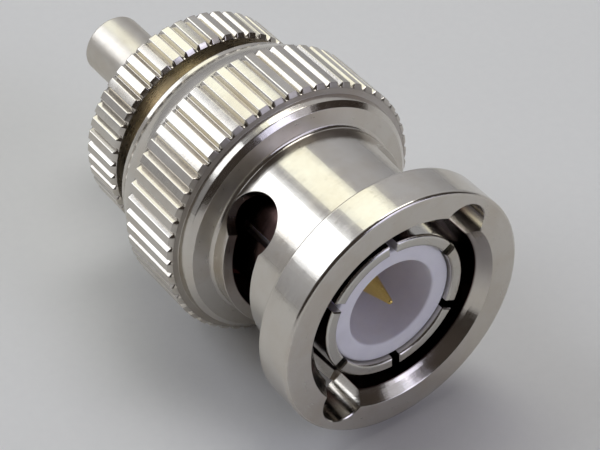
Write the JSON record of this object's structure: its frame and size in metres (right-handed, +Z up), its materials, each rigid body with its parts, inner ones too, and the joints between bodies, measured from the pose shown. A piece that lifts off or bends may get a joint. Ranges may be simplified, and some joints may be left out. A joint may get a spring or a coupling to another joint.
{
  "type": "bayonet coaxial plug",
  "caption": "Bayonet coaxial plug with a spring-loaded knurled coupling nut, slotted contact fingers, a recessed centre pin and a thin crimp stem.",
  "frame": {"origin": "centre of the coupling nut's front face, on the plug's axis", "axes": "+X along the axis, out of the mating face; +Z up as the plug lies on its side; +Y across"},
  "size_m": [0.0269, 0.015, 0.015],
  "materials": {
    "nut_nickel": "polished nickel plate on turned brass",
    "body_nickel": "polished nickel plate on turned brass",
    "contact_nickel": "satin nickel plate",
    "washer_nickel": "nickel plate",
    "ptfe": "machined PTFE",
    "gold": "gold plate",
    "silicone": "dark red silicone rubber",
    "bronze": "bare phosphor bronze"
  },
  "bodies": {
    "plug": {"plug_body": "body_nickel", "rear_shell": "body_nickel", "outer_contact": "contact_nickel", "gasket": "silicone", "front_insulator": "ptfe", "rear_insulator": "ptfe", "centre_pin": "gold", "thrust_washer": "washer_nickel", "wave_spring": "bronze"},
    "carriage": {"lip_washer": "washer_nickel"},
    "nut": {"coupling_nut": "nut_nickel"}
  },
  "joints": [
    {"name": "nut_slide", "type": "slide", "parent": "plug", "child": "carriage", "axis": [1, 0, 0], "range_m": [0, 0.0008], "stiffness_N_per_m": 8000, "springref_m": -0.0003, "deforming": ["wave_spring"]},
    {"name": "nut_turn", "type": "hinge", "parent": "carriage", "child": "nut", "pos_m": [-0.0116, 0, 0], "axis": [1, 0, 0], "continuous": true}
  ]
}
